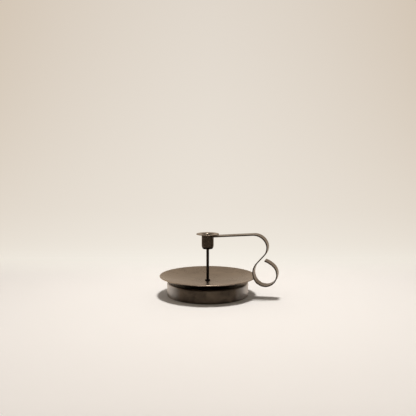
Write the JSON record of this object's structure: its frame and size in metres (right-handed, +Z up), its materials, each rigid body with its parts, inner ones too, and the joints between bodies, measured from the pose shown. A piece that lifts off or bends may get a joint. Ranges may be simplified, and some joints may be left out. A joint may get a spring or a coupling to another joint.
{
  "type": "chime candle holder",
  "caption": "Sheet-metal chamberstick for a thin chime candle: drum foot, drip dish, rod stem, lipped cup and a strip handle with a finger loop.",
  "frame": {"origin": "middle of the whole outline, on the surface that the holder stands on", "axes": "+Z up along the stem, +X from the dish towards the finger loop"},
  "size_m": [0.1523, 0.1234, 0.081],
  "materials": {
    "dark_metal": "satin, dark bronzed",
    "dish_metal": "satin, dark bronzed and wiped",
    "zinc_steel": "zinc plated",
    "braze": "filler metal under the same dark finish"
  },
  "bodies": {
    "root": {"base_drum": "dark_metal", "dish": "dish_metal", "stem": "dark_metal", "stem_collar": "dark_metal", "flat_washer": "zinc_steel", "lock_washer": "zinc_steel", "stem_nut": "zinc_steel", "candle_cup": "dark_metal", "handle_strap": "dark_metal", "cup_braze": "braze", "rim_braze": "braze"}
  },
  "joints": []
}
